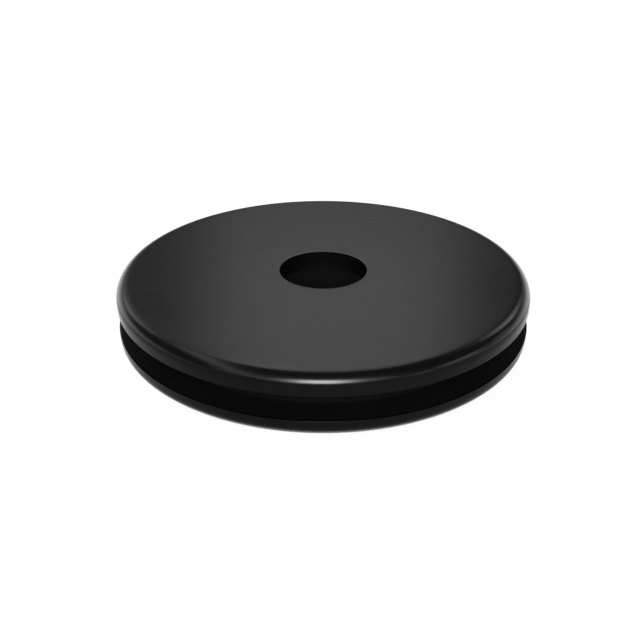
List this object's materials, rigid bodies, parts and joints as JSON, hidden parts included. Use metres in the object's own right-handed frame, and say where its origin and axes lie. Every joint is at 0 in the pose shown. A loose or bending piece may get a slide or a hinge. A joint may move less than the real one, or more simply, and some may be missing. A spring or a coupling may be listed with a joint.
{
  "type": "rubber grommet",
  "caption": "Round black rubber panel grommet: a thick ring with a round bore, a flange above and below, and a groove between them that grips the edge of a panel hole.",
  "frame": {"origin": "centre of the bottom face, on the bore axis", "axes": "+Z along the bore axis, from the lower flange to the upper flange; X and Y lie in the bottom face and are free, because the part is round"},
  "size_m": [0.0446, 0.0446, 0.0066],
  "materials": {
    "rubber": "black moulded rubber, smooth and satin, with polished rims"
  },
  "bodies": {
    "root": {"grommet": "rubber"}
  },
  "joints": []
}
